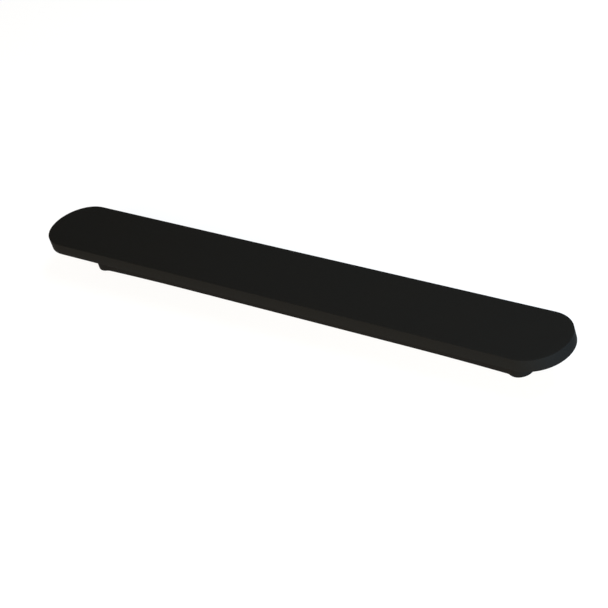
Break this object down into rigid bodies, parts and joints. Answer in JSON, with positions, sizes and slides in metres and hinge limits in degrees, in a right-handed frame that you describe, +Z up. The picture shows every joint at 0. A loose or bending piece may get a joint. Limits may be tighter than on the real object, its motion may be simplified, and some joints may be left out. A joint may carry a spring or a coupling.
{
  "type": "wrist rest",
  "caption": "Slim padded bar with round ends on a narrow rail that ends in round posts, to rest the wrists in front of a keyboard; threaded holes in the posts fix it to a tray.",
  "frame": {"origin": "under the middle of the bar, on the surface that the rest stands on", "axes": "+X along the bar, +Y across it, +Z up"},
  "size_m": [0.46, 0.05, 0.0322],
  "materials": {
    "pad_skin": "matt fine-grained synthetic leather, near black",
    "foam": "firm closed-cell foam, dark grey",
    "board_plastic": "moulded black ABS",
    "steel": "bright zinc-plated steel",
    "panel_plastic": "grained black polypropylene sheet",
    "rivet_plastic": "black nylon",
    "rail_plastic": "fine spark-eroded black ABS",
    "screw_steel": "zinc-plated steel",
    "rubber_grip": "ribbed black rubber",
    "insert_brass": "turned brass"
  },
  "bodies": {
    "root": {"pad_cover": "pad_skin", "foam_pad": "foam", "carrier_board": "board_plastic", "stiffener_bar": "steel", "press_nuts": "steel", "under_panel": "panel_plastic", "panel_rivets": "rivet_plastic", "base_rail": "rail_plastic", "rail_screws": "screw_steel", "rail_washers": "screw_steel", "locating_dowels": "steel", "anti_slip_strip": "rubber_grip", "left_thread_insert": "insert_brass", "right_thread_insert": "insert_brass", "left_foot_ring": "rubber_grip", "right_foot_ring": "rubber_grip"}
  },
  "joints": []
}
